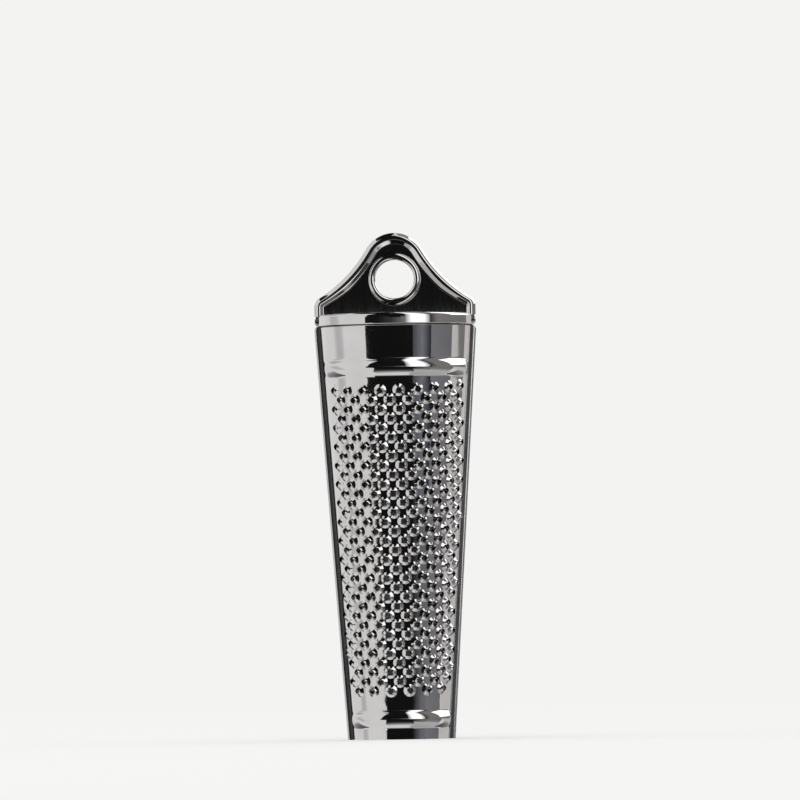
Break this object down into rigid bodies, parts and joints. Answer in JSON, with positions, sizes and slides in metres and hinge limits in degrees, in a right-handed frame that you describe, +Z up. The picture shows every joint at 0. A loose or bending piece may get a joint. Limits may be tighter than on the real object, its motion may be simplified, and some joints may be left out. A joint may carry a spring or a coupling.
{
  "type": "nutmeg grater",
  "caption": "Half-round tapered sheet-steel nutmeg grater with a field of punched teeth, a flat back, a spice compartment under a hinged half-moon lid and a pierced hanging tab.",
  "frame": {"origin": "middle of the bounding box at the open lower end, where the grater stands", "axes": "+Z up the grater towards the hanging tab, -Y out of the toothed front, X across the width"},
  "size_m": [0.0448, 0.0236, 0.14],
  "materials": {
    "polished_steel": "bright, almost mirror-polished stainless sheet",
    "steel_wire": "drawn stainless wire"
  },
  "bodies": {
    "body": {"grater_front": "polished_steel", "back_plate": "polished_steel", "compartment_floor": "polished_steel", "hinge_pin": "steel_wire"},
    "lid": {"lid": "polished_steel"}
  },
  "joints": [
    {"name": "lid_hinge", "type": "hinge", "parent": "body", "child": "lid", "pos_m": [0, 0.01063, 0.1157], "axis": [-1, 0, 0], "range_deg": [0, 175]}
  ]
}
